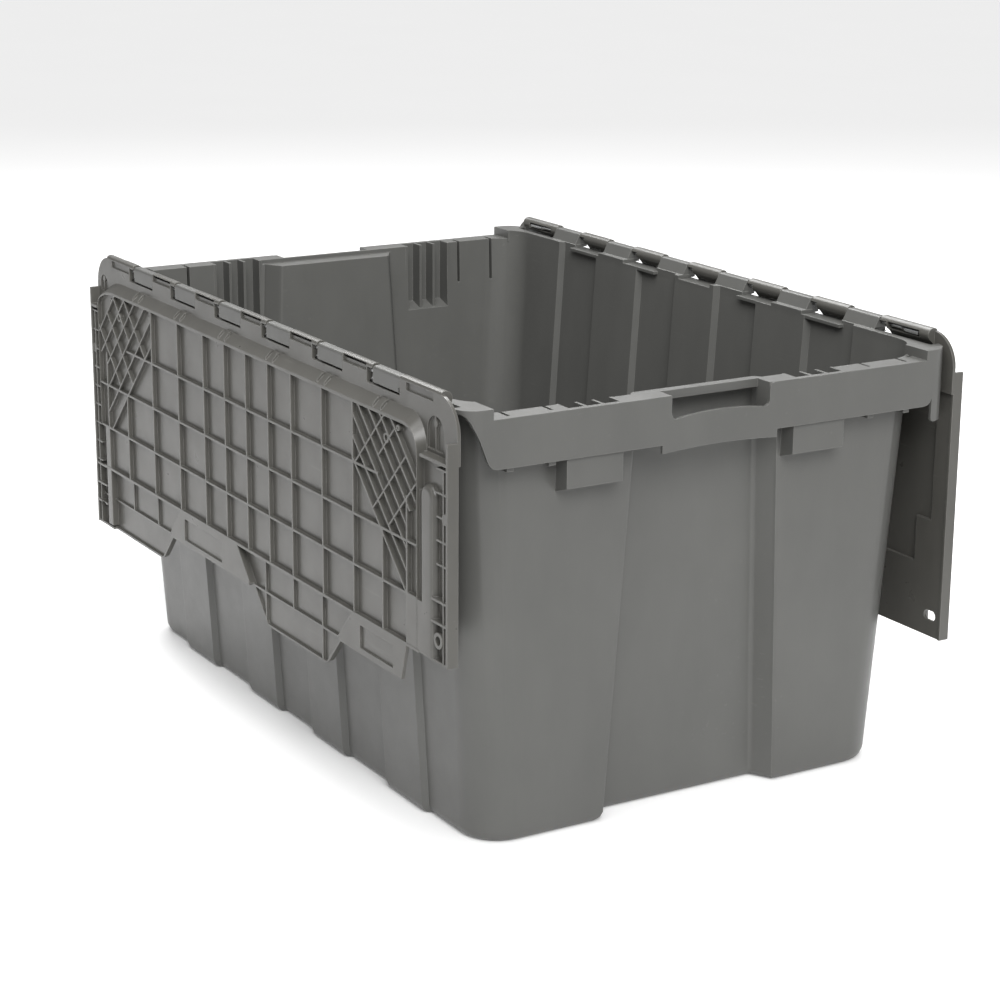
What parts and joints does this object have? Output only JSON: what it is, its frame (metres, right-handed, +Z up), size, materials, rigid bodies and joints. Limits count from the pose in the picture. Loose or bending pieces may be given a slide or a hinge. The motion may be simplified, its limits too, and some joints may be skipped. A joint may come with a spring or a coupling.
{
  "type": "attached lid tote",
  "caption": "Open plastic tote with ribbed interlocking lids hinged on steel rods along both long sides, shown hanging open, with hand holds in the ends.",
  "frame": {"origin": "centre of the base's underside, on the surface the tote stands on", "axes": "+Z up, +Y along the length, +X across the width towards the right lid's hinge"},
  "size_m": [0.5028, 0.711, 0.384],
  "materials": {
    "tote_plastic": "moulded polyethylene, fine satin grain",
    "lid_plastic": "moulded polyethylene, fine satin grain",
    "rod_steel": "bright drawn wire"
  },
  "bodies": {
    "tote": {"tote_body": "tote_plastic"},
    "lid_left": {"left_lid": "lid_plastic", "left_hinge_rod": "rod_steel"},
    "lid_right": {"right_lid": "lid_plastic", "right_hinge_rod": "rod_steel"}
  },
  "joints": [
    {"name": "left_lid_hinge", "type": "hinge", "parent": "tote", "child": "lid_left", "pos_m": [-0.238, 0, 0.3774], "axis": [0, 1, 0], "range_deg": [0, 270]},
    {"name": "right_lid_hinge", "type": "hinge", "parent": "tote", "child": "lid_right", "pos_m": [0.238, 0, 0.3774], "axis": [0, -1, 0], "range_deg": [0, 270]}
  ]
}
